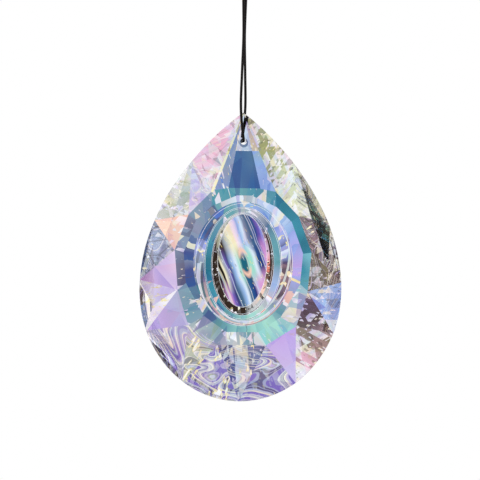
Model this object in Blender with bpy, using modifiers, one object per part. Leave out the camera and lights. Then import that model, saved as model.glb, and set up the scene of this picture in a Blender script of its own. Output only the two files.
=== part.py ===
"""Crystal suncatcher: a pear-shaped drop of cut crystal hanging on a thin black cord.

The origin is the inside of the cord's eye, at its top, where a hook bears. +Z is up and the
drop's front faces -Y. The drop is made the way a cutter grinds it. A pear-shaped blank loses one
flat plane for each facet, an oval lens with a groove round it is turned into the front table, and
the cord hole is drilled near the point.
"""
import math

import bmesh
import bpy
from mathutils import Vector

MM = 0.001

# Pear outline of the drop, with heights measured from its widest level
POINT_RISE = 46.7 * MM
BOTTOM_DROP = 29.3 * MM
HALF_WIDTH = 26.7 * MM
SHOULDER_POWER = 1.85
OUTLINE_QUARTER_STEPS = 26

# The drop's widest level below the hook
WIDEST_LEVEL = -91.0 * MM

# Levels at which facet corners meet the girdle, from the point down one side
GIRDLE_LEVELS = [34.0 * MM, 18.0 * MM, 2.4 * MM, -11.0 * MM, -24.3 * MM]
FRONT_GIRDLE = 1.25 * MM
BACK_GIRDLE = 1.25 * MM

# Front table: the depth of its plane, and the oval that its edge follows
OVAL_LEVEL = 7.0 * MM
TABLE_DEPTH = 7.5 * MM
TABLE_OVAL = (15.3 * MM, 17.8 * MM)
TABLE_RING_TILT = math.radians(9.5)

# Front crown: where its long facets meet the ring round the table, down one side, as (x, height)
CROWN_CORNERS = [
    (4.2 * MM, 26.7 * MM),
    (8.3 * MM, 26.0 * MM),
    (14.5 * MM, 19.6 * MM),
    (18.0 * MM, 10.2 * MM),
    (17.1 * MM, 0.0 * MM),
    (14.2 * MM, -9.2 * MM),
    (6.4 * MM, -14.2 * MM),
]

# Ovals turned into the front table, from the outside in to the groove's floor, as (half width, half
# height, depth), and the lens inside them, whose middle is a little above theirs
LENS_RINGS = [
    (13.2 * MM, 16.4 * MM, 7.6 * MM),
    (12.5 * MM, 15.8 * MM, 7.0 * MM),
    (10.2 * MM, 14.8 * MM, 6.7 * MM),
    (9.9 * MM, 14.5 * MM, 6.2 * MM),
    (8.2 * MM, 13.5 * MM, 5.5 * MM),
    (7.9 * MM, 13.2 * MM, 4.7 * MM),
]
LENS_OVAL = (6.4 * MM, 12.1 * MM)
LENS_LIFT = 0.8 * MM
GROOVE_FLOOR = 4.6 * MM
FLOOR_MARGIN = 0.1 * MM
LENS_FOOT = 4.9 * MM
LENS_TOP = 7.3 * MM
LENS_STEPS = 5
OVAL_SIDES = 48

# Top of the lens cutter, clear of the drop's front, and how much wider than the cut it is there
CUTTER_FACE = 12.0 * MM
CUTTER_SPREAD = 1.05

# Back: rings of facet corners inside the girdle, the last one round the back flat, as (share of the
# outline's width and drop, share of its rise, depth)
BACK_CORNERS = 18
BACK_RINGS = [
    (0.82, 0.73, 4.8 * MM),
    (0.56, 0.45, 8.0 * MM),
    (0.34, 0.27, 9.3 * MM),
]
BACK_DEPTH = BACK_RINGS[-1][2]

# Cord hole, drilled front to back, with a countersink at each mouth
HOLE_LEVEL = 39.1 * MM
HOLE_RADIUS = 0.85 * MM
HOLE_SIDES = 24
COUNTERSINK_RADIUS = 1.15 * MM
CUTTER_REACH = 2.0 * MM

# Cord: half of its route, from the middle of the hole out of the front and up to the top of the eye,
# with heights above the widest level. The other half is the same route turned half round the vertical.
CORD_RADIUS = 0.35 * MM
HALF_ROUTE = [
    (0.0 * MM, -0.15 * MM, 39.25 * MM),
    (0.0 * MM, -1.6 * MM, 39.25 * MM),
    (0.0 * MM, -2.9 * MM, 39.25 * MM),
    (-0.1 * MM, -3.95 * MM, 39.65 * MM),
    (-0.25 * MM, -4.3 * MM, 40.6 * MM),
    (-0.6 * MM, -4.1 * MM, 43.4 * MM),
    (-0.9 * MM, -3.6 * MM, 48.5 * MM),
    (-0.65 * MM, -2.6 * MM, 57.0 * MM),
    (-0.3 * MM, -1.6 * MM, 67.0 * MM),
    (-0.36 * MM, -0.7 * MM, 75.0 * MM),
    (-0.42 * MM, -0.2 * MM, 79.0 * MM),
    (-0.42 * MM, 0.0 * MM, 81.0 * MM),
    (-0.6 * MM, 0.0 * MM, 83.2 * MM),
    (-1.9 * MM, 0.0 * MM, 85.4 * MM),
    (-2.9 * MM, 0.0 * MM, 88.2 * MM),
    (-2.1 * MM, 0.0 * MM, 90.6 * MM),
    (0.0 * MM, 0.0 * MM, 91.35 * MM),
]
ROUTE_SPACING = 1.7 * MM
BEND_STEPS = 2

# Knot: turns of the cord wrapped round both strands, with the cord's two ends standing out of it
KNOT_LEVEL = 80.6 * MM
KNOT_TURNS = 3
KNOT_INNER_RADIUS = 0.77 * MM
KNOT_TURN_STEPS = 6
KNOT_SIDES = 20
TAIL_ROUTE = [
    (-2.7 * MM, -1.0 * MM, 78.6 * MM),
    (-1.3 * MM, -0.5 * MM, 80.1 * MM),
    (0.0 * MM, 0.0 * MM, 80.6 * MM),
    (1.3 * MM, 0.5 * MM, 80.1 * MM),
    (2.7 * MM, 1.0 * MM, 78.6 * MM),
]

# Looks of the two pieces: colour, roughness and the share of light let through
CRYSTAL_LOOK = ((0.78, 0.9, 0.96), 0.02, 1.0)
CORD_LOOK = ((0.03, 0.025, 0.022), 0.7, 0.0)
GLASS_IOR = 1.52

# Smallest distance that points keep, and the distance at which a cut snaps to a corner
WELD = 0.004 * MM
SNAP = 0.001 * MM

# Edges flatter than this are shaded round
SHARP_FROM = math.radians(25.0)


def clear_scene():
    for old in list(bpy.data.objects):
        bpy.data.objects.remove(old, do_unlink=True)


def new_collection(name):
    collection = bpy.data.collections.new(name)
    bpy.context.scene.collection.children.link(collection)
    return collection


def new_material(name, colour, roughness, transmission):
    material = bpy.data.materials.new(name)
    material.use_nodes = True
    shader = material.node_tree.nodes["Principled BSDF"]
    shader.inputs["Base Color"].default_value = (*colour, 1.0)
    shader.inputs["Roughness"].default_value = roughness
    shader.inputs["Metallic"].default_value = 0.0
    shader.inputs["IOR"].default_value = GLASS_IOR
    shader.inputs["Transmission Weight"].default_value = transmission
    return material


def mesh_object(name, bm, collection):
    bmesh.ops.recalc_face_normals(bm, faces=bm.faces)
    mesh = bpy.data.meshes.new(name)
    bm.to_mesh(mesh)
    bm.free()
    thing = bpy.data.objects.new(name, mesh)
    collection.objects.link(thing)
    return thing


def curve_to_mesh(curve, collection):
    """Replaces a curve object by its mesh, with the loose caps welded on."""
    bpy.context.view_layer.update()
    evaluated = curve.evaluated_get(bpy.context.evaluated_depsgraph_get())
    mesh = bpy.data.meshes.new_from_object(evaluated)
    name = curve.name
    placed = curve.matrix_world.copy()
    bpy.data.objects.remove(curve, do_unlink=True)
    bm = bmesh.new()
    bm.from_mesh(mesh)
    bmesh.ops.remove_doubles(bm, verts=bm.verts, dist=WELD)
    bm.to_mesh(mesh)
    bm.free()
    thing = bpy.data.objects.new(name, mesh)
    collection.objects.link(thing)
    thing.matrix_world = placed
    shade_round(thing)
    return thing


def shade_round(thing):
    thing.data.shade_smooth()
    thing.data.set_sharp_from_angle(angle=SHARP_FROM)


def pear_point(angle):
    """A point of the pear outline: -90 degrees is the bottom, 0 the widest level and 90 the point."""
    across = max(0.0, math.cos(angle))
    if angle >= 0:
        return HALF_WIDTH * across**SHOULDER_POWER, POINT_RISE * math.sin(angle)
    return HALF_WIDTH * across, BOTTOM_DROP * math.sin(angle)


def pear_width(level):
    """Half the drop's width at a height."""
    rise = POINT_RISE if level >= 0 else BOTTOM_DROP
    return pear_point(math.asin(level / rise))[0]


def both_sides(right_side):
    """Closes the points of the right side, listed from the top down, with their mirror images."""
    left_side = [(-x, z) for x, z in reversed(right_side) if x > WELD]
    return right_side + left_side


def girdle_corners(depth):
    sides = [(pear_width(level), level) for level in GIRDLE_LEVELS]
    corners = both_sides([(0.0, POINT_RISE), *sides, (0.0, -BOTTOM_DROP)])
    return [Vector((x, depth, z)) for x, z in corners]


def crown_corners():
    """The corners round the table ring, each as deep as the ring's tilt puts it."""
    corners = []
    for x, z in both_sides(CROWN_CORNERS):
        outward = math.hypot(x / TABLE_OVAL[0], (z - OVAL_LEVEL) / TABLE_OVAL[1])
        gap = math.hypot(x, z - OVAL_LEVEL) * (1 - 1 / outward)
        corners.append(Vector((x, gap * math.tan(TABLE_RING_TILT) - TABLE_DEPTH, z)))
    return corners


def oval_corners(oval, level, depth, count):
    """Corners evenly round an oval, from the top round the right side."""
    corners = []
    for step in range(count):
        angle = math.pi / 2 - math.tau * step / count
        corners.append(Vector((oval[0] * math.cos(angle), depth, level + oval[1] * math.sin(angle))))
    return corners


def pear_ring(share, rise_share, depth, half_step):
    """Corners of a facet ring evenly round the pear outline, drawn in to a share of its size."""
    corners = []
    for step in range(BACK_CORNERS):
        turn = math.pi / 2 - math.tau * (step + half_step) / BACK_CORNERS
        x, z = pear_point(math.asin(math.sin(turn)))
        side = share if math.cos(turn) > 0 else -share
        corners.append(Vector((x * side, depth, z * (rise_share if z > 0 else share))))
    return corners


def outward_of_edge(a, b):
    """The sideways direction, square to an edge, that points away from the drop's middle."""
    side = Vector((b.z - a.z, 0.0, a.x - b.x)).normalized()
    middle = (a + b) / 2 - Vector((0.0, 0.0, OVAL_LEVEL))
    return side if side.dot(middle) > 0 else -side


def facet_planes(ring, other_ring):
    """One plane for each edge of a ring, tipped until it touches the facing corner of the other ring."""
    planes = []
    for index, a in enumerate(ring):
        b = ring[(index + 1) % len(ring)]
        outward = outward_of_edge(a, b)
        c = max(other_ring, key=outward.dot)
        normal = (b - a).cross(c - a).normalized()
        if normal.dot(outward) < 0:
            normal = -normal
        planes.append((a, normal))
    return planes


def grind(bm, planes):
    """Cuts each plane off a solid and closes the cut with one flat facet."""
    for point, normal in planes:
        everything = [*bm.verts, *bm.edges, *bm.faces]
        cut = bmesh.ops.bisect_plane(
            bm, geom=everything, plane_co=point, plane_no=normal, dist=SNAP, clear_outer=True
        )
        rim = [part for part in cut["geom_cut"] if isinstance(part, bmesh.types.BMEdge)]
        bmesh.ops.edgeloop_fill(bm, edges=[edge for edge in rim if edge.is_boundary])


def front_planes():
    girdle = girdle_corners(-FRONT_GIRDLE)
    crown = crown_corners()
    table = oval_corners(TABLE_OVAL, OVAL_LEVEL, -TABLE_DEPTH, OVAL_SIDES)
    return facet_planes(crown, girdle) + facet_planes(girdle, crown) + facet_planes(crown, table)


def back_planes():
    """Three tiers of facets, each ring of corners half a step round from the one outside it."""
    planes = []
    outer = girdle_corners(BACK_GIRDLE)
    for order, (share, rise_share, depth) in enumerate(BACK_RINGS):
        inner = pear_ring(share, rise_share, depth, 0.5 * (order % 2))
        planes += facet_planes(inner, outer) + facet_planes(outer, inner)
        outer = inner
    return planes


def pear_blank(collection):
    """The flat pear-shaped slab that the facets are ground on."""
    steps = OUTLINE_QUARTER_STEPS
    angles = [math.pi / 2 * step / steps for step in range(steps, -steps - 1, -1)]
    outline = both_sides([pear_point(angle) for angle in angles])
    bm = bmesh.new()
    rim = [bm.verts.new((x, -TABLE_DEPTH, z)) for x, z in outline]
    front = bm.faces.new(rim)
    grown = bmesh.ops.extrude_face_region(bm, geom=[front])
    moved = [part for part in grown["geom"] if isinstance(part, bmesh.types.BMVert)]
    bmesh.ops.translate(bm, vec=(0.0, TABLE_DEPTH + BACK_DEPTH, 0.0), verts=moved)
    bmesh.ops.recalc_face_normals(bm, faces=bm.faces)
    grind(bm, front_planes())
    grind(bm, back_planes())
    bmesh.ops.remove_doubles(bm, verts=bm.verts, dist=WELD)
    bmesh.ops.dissolve_degenerate(bm, edges=bm.edges, dist=WELD)
    return mesh_object("crystal_drop", bm, collection)


def lens_profile():
    """The turned ovals from the cut's rim to the lens's top, as (half sizes, middle's level, depth)."""
    half_width, half_height, _ = LENS_RINGS[0]
    spread = (half_width * CUTTER_SPREAD, half_height * CUTTER_SPREAD)
    rings = [(spread, OVAL_LEVEL, CUTTER_FACE)]
    for half_width, half_height, depth in LENS_RINGS:
        rings.append(((half_width, half_height), OVAL_LEVEL, depth))
    lens_level = OVAL_LEVEL + LENS_LIFT
    floor = (LENS_OVAL[0] + FLOOR_MARGIN, LENS_OVAL[1] + FLOOR_MARGIN)
    rings.append((floor, lens_level, GROOVE_FLOOR))
    for step in range(LENS_STEPS):
        angle = math.pi / 2 * step / LENS_STEPS
        across = math.cos(angle)
        depth = LENS_FOOT + (LENS_TOP - LENS_FOOT) * math.sin(angle)
        rings.append(((LENS_OVAL[0] * across, LENS_OVAL[1] * across), lens_level, depth))
    return rings


def lens_cutter(collection):
    """What the oval cut takes away: a loft through ovals whose proportions change from ring to ring."""
    bm = bmesh.new()
    loops = []
    for oval, level, depth in lens_profile():
        corners = oval_corners(oval, level, -depth, OVAL_SIDES)
        loops.append([bm.verts.new(corner) for corner in corners])
    for outer, inner in zip(loops, loops[1:]):
        for index in range(OVAL_SIDES):
            after = (index + 1) % OVAL_SIDES
            bm.faces.new((outer[index], outer[after], inner[after], inner[index]))
    top = bm.verts.new((0.0, -LENS_TOP, OVAL_LEVEL + LENS_LIFT))
    for index in range(OVAL_SIDES):
        bm.faces.new((loops[-1][index], loops[-1][(index + 1) % OVAL_SIDES], top))
    bm.faces.new(loops[0])
    cutter = mesh_object("lens_cutter", bm, collection)
    shade_round(cutter)
    return cutter


def mouth_depth(corner, girdle):
    """How deep the long facet at the point lies at the level of the hole."""
    share = (POINT_RISE - HOLE_LEVEL) / (POINT_RISE - corner.z)
    return girdle + (abs(corner.y) - girdle) * share


def turned_object(name, profile, sides, collection):
    """A profile of (radius, height) points, listed down its outer side, turned round the Z axis."""
    mesh = bpy.data.meshes.new(name)
    edges = [(index, index + 1) for index in range(len(profile) - 1)]
    mesh.from_pydata([(radius, 0.0, height) for radius, height in profile], edges, [])
    thing = bpy.data.objects.new(name, mesh)
    collection.objects.link(thing)
    turned = thing.modifiers.new("turned", "SCREW")
    turned.steps = sides
    turned.render_steps = sides
    turned.use_smooth_shade = True
    turned.use_merge_vertices = True
    turned.merge_threshold = WELD
    return thing


def hole_cutter(collection):
    """The drill with a countersink at each end, turned on its own axis and laid along Y."""
    back_mouth = mouth_depth(pear_ring(*BACK_RINGS[0], 0.0)[0], BACK_GIRDLE)
    front_mouth = mouth_depth(crown_corners()[0], FRONT_GIRDLE)
    flare = COUNTERSINK_RADIUS - HOLE_RADIUS
    profile = [
        (0.0, back_mouth + CUTTER_REACH),
        (COUNTERSINK_RADIUS + CUTTER_REACH, back_mouth + CUTTER_REACH),
        (HOLE_RADIUS, back_mouth - flare),
        (HOLE_RADIUS, flare - front_mouth),
        (COUNTERSINK_RADIUS + CUTTER_REACH, -front_mouth - CUTTER_REACH),
        (0.0, -front_mouth - CUTTER_REACH),
    ]
    cutter = turned_object("hole_cutter", profile, HOLE_SIDES, collection)
    cutter.location = (0.0, 0.0, HOLE_LEVEL)
    cutter.rotation_euler = (-math.pi / 2, 0.0, 0.0)
    return cutter


def combine(thing, other, operation):
    """Cuts another object from this one, or joins it to this one."""
    other.hide_render = True
    other.display_type = "WIRE"
    step = thing.modifiers.new(other.name, "BOOLEAN")
    step.operation = operation
    step.solver = "EXACT"
    step.object = other


def crystal_drop(parts, cutters):
    """The cut crystal, with its cutters parented to it so that all of it hangs at the right level."""
    drop = pear_blank(parts)
    for cutter in (lens_cutter(cutters), hole_cutter(cutters)):
        cutter.parent = drop
        combine(drop, cutter, "DIFFERENCE")
    drop.location = (0.0, 0.0, WIDEST_LEVEL)
    drop.data.materials.append(new_material("coated_crystal", *CRYSTAL_LOOK))
    return drop


def between(a, b, low, high, at):
    return a * ((high - at) / (high - low)) + b * ((at - low) / (high - low))


def smooth_point(a, b, c, d, share):
    """A point between b and c on the centripetal curve through four points."""
    marks = [0.0]
    for start, end in ((a, b), (b, c), (c, d)):
        marks.append(marks[-1] + math.sqrt((end - start).length))
    at = marks[1] + (marks[2] - marks[1]) * share
    first = between(a, b, marks[0], marks[1], at)
    second = between(b, c, marks[1], marks[2], at)
    third = between(c, d, marks[2], marks[3], at)
    early = between(first, second, marks[0], marks[2], at)
    late = between(second, third, marks[1], marks[3], at)
    return between(early, late, marks[1], marks[2], at)


def smooth_route(points):
    """Points about one spacing apart on a smooth curve through the given ones."""
    padded = [2 * points[0] - points[1], *points, 2 * points[-1] - points[-2]]
    route = []
    for a, b, c, d in zip(padded, padded[1:], padded[2:], padded[3:]):
        steps = max(BEND_STEPS, round((c - b).length / ROUTE_SPACING))
        route += [smooth_point(a, b, c, d, step / steps) for step in range(steps)]
    return [*route, points[-1]]


def cord_tube(name, points, collection):
    curve = bpy.data.curves.new(name, "CURVE")
    curve.dimensions = "3D"
    curve.bevel_depth = CORD_RADIUS
    curve.bevel_resolution = 2
    curve.use_fill_caps = True
    spline = curve.splines.new("POLY")
    spline.points.add(len(points) - 1)
    for point, place in zip(spline.points, points):
        point.co = (*place, 1.0)
    tube = bpy.data.objects.new(name, curve)
    collection.objects.link(tube)
    return curve_to_mesh(tube, collection)


def knot_barrel(collection):
    """The outer shape of the knot's turns: a turned profile with one bulge for each turn of cord."""
    half_height = KNOT_TURNS * CORD_RADIUS
    profile = [(0.0, half_height)]
    for turn in range(KNOT_TURNS):
        middle = half_height - (2 * turn + 1) * CORD_RADIUS
        for step in range(1, KNOT_TURN_STEPS):
            angle = math.pi / 2 - math.pi * step / KNOT_TURN_STEPS
            radius = KNOT_INNER_RADIUS + CORD_RADIUS * (1 + math.cos(angle))
            profile.append((radius, middle + CORD_RADIUS * math.sin(angle)))
    profile.append((0.0, -half_height))
    barrel = turned_object("knot_barrel", profile, KNOT_SIDES, collection)
    barrel.location = (0.0, 0.0, WIDEST_LEVEL + KNOT_LEVEL)
    return barrel


def hanging_cord(parts, cutters):
    """One cord: through the hole, up as two strands, through its knot and round its eye."""
    hang = Vector((0.0, 0.0, WIDEST_LEVEL))
    half = [Vector(place) + hang for place in HALF_ROUTE]
    turned = [Vector((-place.x, -place.y, place.z)) for place in reversed(half[:-1])]
    cord = cord_tube("hanging_cord", smooth_route(half + turned), parts)
    tails = smooth_route([Vector(place) + hang for place in TAIL_ROUTE])
    combine(cord, knot_barrel(cutters), "UNION")
    combine(cord, cord_tube("cord_tails", tails, cutters), "UNION")
    cord.data.materials.clear()
    cord.data.materials.append(new_material("black_cord", *CORD_LOOK))
    return cord


def main():
    clear_scene()
    parts = new_collection("crystal_suncatcher")
    cutters = new_collection("cutters")
    crystal_drop(parts, cutters)
    hanging_cord(parts, cutters)


main()
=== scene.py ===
"""Looks of the crystal suncatcher: the coated cut crystal, its black cord, and the studio round them."""
import math

import bmesh
import bpy
from mathutils import Matrix, Vector


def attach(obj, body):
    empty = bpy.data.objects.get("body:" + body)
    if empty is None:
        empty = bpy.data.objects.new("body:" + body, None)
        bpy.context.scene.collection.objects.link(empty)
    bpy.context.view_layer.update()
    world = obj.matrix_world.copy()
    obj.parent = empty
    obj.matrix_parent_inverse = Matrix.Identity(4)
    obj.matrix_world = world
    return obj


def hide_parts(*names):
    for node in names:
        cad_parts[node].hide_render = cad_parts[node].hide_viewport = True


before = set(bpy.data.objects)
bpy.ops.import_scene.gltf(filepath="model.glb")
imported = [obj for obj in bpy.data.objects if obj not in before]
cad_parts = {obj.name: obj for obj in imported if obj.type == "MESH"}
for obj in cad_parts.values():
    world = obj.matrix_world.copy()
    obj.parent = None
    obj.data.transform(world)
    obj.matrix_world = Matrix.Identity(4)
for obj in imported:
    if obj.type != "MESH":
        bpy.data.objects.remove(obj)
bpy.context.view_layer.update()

MM = 0.001

# The drop hangs below the hook at the origin; its front faces -Y
WIDEST_LEVEL = -91.0 * MM

# Camera: the photograph shows the drop from the front, a little turned and rolled
PHOTO_SIDE = 480
PIXELS_PER_METRE = 3790.0
SENSOR_WIDTH = 36.0
CLIP_RANGE = (0.01, 20.0)
CAMERA_DISTANCE = 0.75
CAMERA_AZIMUTH = math.radians(-5.0)
CAMERA_ROLL = math.radians(0.85)
PHOTO_CENTRE = Vector((-0.30 * MM, 0.0, WIDEST_LEVEL + 13.2 * MM))

# Pear outline, facets and lens, as the solid has them
POINT_RISE = 46.7 * MM
BOTTOM_DROP = 29.3 * MM
HALF_WIDTH = 26.7 * MM
SHOULDER_POWER = 1.85
GIRDLE_LEVELS = [34.0 * MM, 18.0 * MM, 2.4 * MM, -11.0 * MM, -24.3 * MM]
FRONT_GIRDLE = 1.25 * MM
BACK_GIRDLE = 1.25 * MM
OVAL_LEVEL = 7.0 * MM
TABLE_DEPTH = 7.5 * MM
TABLE_OVAL = (15.3 * MM, 17.8 * MM)
TABLE_RING_TILT = math.radians(9.5)
CROWN_CORNERS = [
    (4.2 * MM, 26.7 * MM), (8.3 * MM, 26.0 * MM), (14.5 * MM, 19.6 * MM), (18.0 * MM, 10.2 * MM),
    (17.1 * MM, 0.0 * MM), (14.2 * MM, -9.2 * MM), (6.4 * MM, -14.2 * MM),
]
LENS_RINGS = [
    (13.2 * MM, 16.4 * MM, 7.6 * MM), (12.5 * MM, 15.8 * MM, 7.0 * MM),
    (10.2 * MM, 14.8 * MM, 6.7 * MM), (9.9 * MM, 14.5 * MM, 6.2 * MM), (8.2 * MM, 13.5 * MM, 5.5 * MM),
    (7.9 * MM, 13.2 * MM, 4.7 * MM),
]
LENS_OVAL = (6.4 * MM, 12.1 * MM)
LENS_LIFT = 0.8 * MM
GROOVE_FLOOR = 4.6 * MM
FLOOR_MARGIN = 0.1 * MM
LENS_FOOT = 4.9 * MM
LENS_TOP = 7.3 * MM
LENS_STEPS = 32
OVAL_SIDES = 160
CUTTER_FACE = 12.0 * MM
CUTTER_SPREAD = 1.05
BACK_CORNERS = 18
BACK_RINGS = [
    (0.82, 0.73, 4.8 * MM), (0.56, 0.45, 8.0 * MM), (0.34, 0.27, 9.3 * MM),
]
BACK_DEPTH = BACK_RINGS[-1][2]
HOLE_LEVEL = 39.1 * MM
HOLE_RADIUS = 0.85 * MM
HOLE_SIDES = 64
COUNTERSINK_RADIUS = 1.15 * MM
CUTTER_REACH = 2.0 * MM
EDGE_BEVEL = 0.05 * MM

# Steps of the pear outline, a quarter at a time; with 96 or more the plane cuts leave the blank open
OUTLINE_QUARTER_STEPS = 84

# Cord route, as the solid has it: one half, and the same turned half round the vertical
CORD_RADIUS = 0.35 * MM
HALF_ROUTE = [
    (0.0 * MM, -0.15 * MM, 39.25 * MM),
    (0.0 * MM, -1.6 * MM, 39.25 * MM),
    (0.0 * MM, -2.9 * MM, 39.25 * MM),
    (-0.1 * MM, -3.95 * MM, 39.65 * MM),
    (-0.25 * MM, -4.3 * MM, 40.6 * MM),
    (-0.6 * MM, -4.1 * MM, 43.4 * MM),
    (-0.9 * MM, -3.6 * MM, 48.5 * MM),
    (-0.65 * MM, -2.6 * MM, 57.0 * MM),
    (-0.3 * MM, -1.6 * MM, 67.0 * MM),
    (-0.36 * MM, -0.7 * MM, 75.0 * MM),
    (-0.42 * MM, -0.2 * MM, 79.0 * MM),
    (-0.42 * MM, 0.0 * MM, 81.0 * MM),
    (-0.6 * MM, 0.0 * MM, 83.2 * MM),
    (-1.9 * MM, 0.0 * MM, 85.4 * MM),
    (-2.9 * MM, 0.0 * MM, 88.2 * MM),
    (-2.1 * MM, 0.0 * MM, 90.6 * MM),
    (0.0 * MM, 0.0 * MM, 91.35 * MM),
]
ROUTE_SPACING = 0.7 * MM
BEND_STEPS = 4
CORD_BEVEL_STEPS = 5
KNOT_LEVEL = 80.6 * MM
KNOT_TURNS = 3
KNOT_TURN_STEPS = 28
KNOT_INNER_RADIUS = 0.77 * MM
TAIL_ROUTE = [
    (-2.7 * MM, -1.0 * MM, 78.6 * MM), (-1.3 * MM, -0.5 * MM, 80.1 * MM),
    (0.0 * MM, 0.0 * MM, 80.6 * MM), (1.3 * MM, 0.5 * MM, 80.1 * MM), (2.7 * MM, 1.0 * MM, 78.6 * MM),
]

# Looks of the cord: the lay of its strands, with painted shade in the grooves between them, and its wax
STRAND_TURN = (0.0, math.radians(38.0), math.radians(20.0))
STRAND_SCALE = 900.0
STRAND_WAVER = 1.5
STRAND_DETAIL = 4.0
STRAND_LIGHTS = [(0.0, (0.001, 0.0008, 0.0008)), (1.0, (0.009, 0.006, 0.005))]
STRAND_BUMP = 0.5
STRAND_HEIGHT = 0.06 * MM
WAX_ROUGHNESS = 0.55
WAX_SHEEN = 0.01
WAX_SHINE = 0.12

# How close points of the crystal's mesh are welded: after the grinding, and after the bevels
WELD = 0.004 * MM
SLIVER = 0.002 * MM
SNAP = 0.001 * MM

# Coating tints, as display colours of one facet over white; the darkest, umber, bark and black, are painted
# shade, the dark reflections in the glass
TINTS = {
    "clear": (250, 251, 252), "white": (248, 247, 244), "deep_blue": (60, 106, 160),
    "deep_teal": (50, 122, 142), "navy": (84, 96, 150), "periwinkle": (108, 146, 212),
    "pale_periwinkle": (172, 182, 234), "sky": (168, 196, 232), "slate": (140, 152, 176),
    "plum": (92, 78, 118), "violet": (140, 122, 196), "teal": (72, 152, 172), "sea": (112, 168, 176),
    "aqua": (136, 206, 216), "mint": (172, 224, 210), "straw": (228, 230, 194),
    "olive": (138, 134, 104), "umber": (88, 72, 62), "mauve": (150, 128, 136),
    "orchid": (200, 176, 234), "orchid_pink": (222, 172, 218), "rose": (238, 196, 214),
    "lilac": (206, 194, 232), "peach": (246, 210, 192), "coral": (232, 150, 130),
    "gold": (240, 226, 150), "silver": (196, 200, 202), "cream": (244, 238, 206), "black": (52, 44, 38),
    "ice": (224, 236, 248), "blush": (246, 230, 238), "pale_lilac": (228, 220, 242),
    "indigo": (62, 66, 138), "mist": (178, 184, 206), "steel": (150, 164, 186), "dusk": (96, 130, 158),
    "bark": (60, 48, 40), "sage": (188, 196, 172), "pale_mint": (222, 238, 230),
    "moss": (168, 176, 134),
}
TINT_DEPTH = 2.2

# Finishes of the facets from the top round the right: tint, second tint, then how broken by painted
# reflections, how dark with painted shade, how streaky with painted swirls and how flecked with painted
# golden glints; shares left out are 0
MAIN_FINISHES = [
    ("sky", "periwinkle", 0.1, 0.0, 0.0, 0.5),
    ("sage", "straw", 0.7, 0.25, 0.0, 0.4),
    ("umber", "mauve", 0.35, 0.5, 0.7, 0.5),
    ("umber", "olive", 0.35, 0.5, 0.6, 0.4),
    ("mauve", "umber", 0.4, 0.3, 0.0, 0.1),
    ("orchid", "lilac"),
    ("slate", "navy", 0.45, 0.3, 0.4, 1.0),
    ("silver", "sage", 0.3, 0.2, 0.75, 0.8),
    ("mist", "lilac"),
    ("blush", "lilac"),
    ("peach", "peach", 0.1, 0.0, 0.0, 0.2),
    ("pale_lilac", "lilac", 0.3, 0.03, 0.4, 0.3),
    ("steel", "periwinkle", 0.15, 0.1, 0.0, 0.7),
    ("deep_blue", "dusk", 0.0, 0.0, 0.0, 0.15),
]
BREAK_FINISHES = [
    ("sage", "moss", 0.7, 0.25, 0.0, 0.5),
    ("sage", "straw", 0.4, 0.25, 0.5, 0.5),
    ("mauve", "umber", 0.35, 0.35, 0.5, 0.3),
    ("periwinkle", "sky", 0.3, 0.3, 0.2, 0.1),
    ("rose", "olive", 0.5, 0.25, 0.0, 0.1),
    ("mist", "violet", 0.3, 0.08, 0.85, 0.5),
    ("mist", "violet", 0.35, 0.15, 0.75, 1.0),
    ("white", "violet", 0.2, 0.0, 0.8, 0.3),
    ("white", "pale_lilac", 0.35, 0.0, 0.0, 0.6),
    ("mist", "steel", 0.35, 0.5, 0.4, 0.4),
    ("white", "sage", 0.5, 0.1, 0.0, 0.5),
    ("pale_lilac", "rose", 0.6, 0.15, 0.3, 0.2),
]
RING_FINISHES = [
    ("teal", "sea", 0.1),
    ("deep_teal", "teal"),
    ("deep_teal", "teal"),
    ("teal", "aqua"),
    ("aqua", "silver", 0.12),
    ("mint", "aqua", 0.1),
    ("sea", "silver", 0.2, 0.1, 0.0, 0.1),
    ("sea", "silver", 0.15, 0.05, 0.0, 0.2),
    ("steel", "sea", 0.12, 0.05, 0.0, 0.1),
    ("steel", "plum", 0.1, 0.0, 0.0, 0.1),
    ("plum", "steel", 0.1, 0.0, 0.0, 0.1),
    ("steel", "sea", 0.1, 0.0, 0.0, 0.3),
    ("sea", "teal", 0.05, 0.0, 0.0, 0.3),
    ("sea", "teal", 0.1),
]
BACK_FINISHES = [
    ("clear", "ice"),
    ("pale_lilac", "ice", 0.1),
    ("ice", "clear"),
    ("clear", "blush", 0.1),
    ("lilac", "clear"),
    ("clear", "pale_lilac", 0.1),
    ("blush", "clear"),
]
CLEAR_FINISH = ("clear", "clear")

# Facets, by number (14 main ones, 12 breaks), whose tint changes towards the outline
OUTLINE_TINTS = {
    1: "sage", 3: "mauve", 5: "lilac", 6: "violet", 8: "orchid", 9: "orchid_pink",
    11: "white", 14: "straw", 15: "umber", 19: "violet", 20: "violet", 21: "pale_lilac",
}

# The hole's walls, the grey glass between the hole and the deep blue with painted golden glints on the facet
# beside it, and the golden edge left of it, painted as a highlight
HOLE_FINISH = ("dusk", "steel")
HOLE_REACH = 3.0 * MM
BLUE_TOP = 36.6 * MM
TOP_FINISHES = {
    13: ("steel", "ice", 0.5, 0.1, 0.0, 0.2),
    0: ("gold", "violet", 0.2, 0.05, 0.0, 1.0),
}
GOLD_EDGE = {12, 25}
GOLD_FINISH = ("gold", "cream", 0.5, 0.2)
GOLD_BEVEL = 0.34 * MM
FACET_ALIGNED = 0.9999
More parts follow.
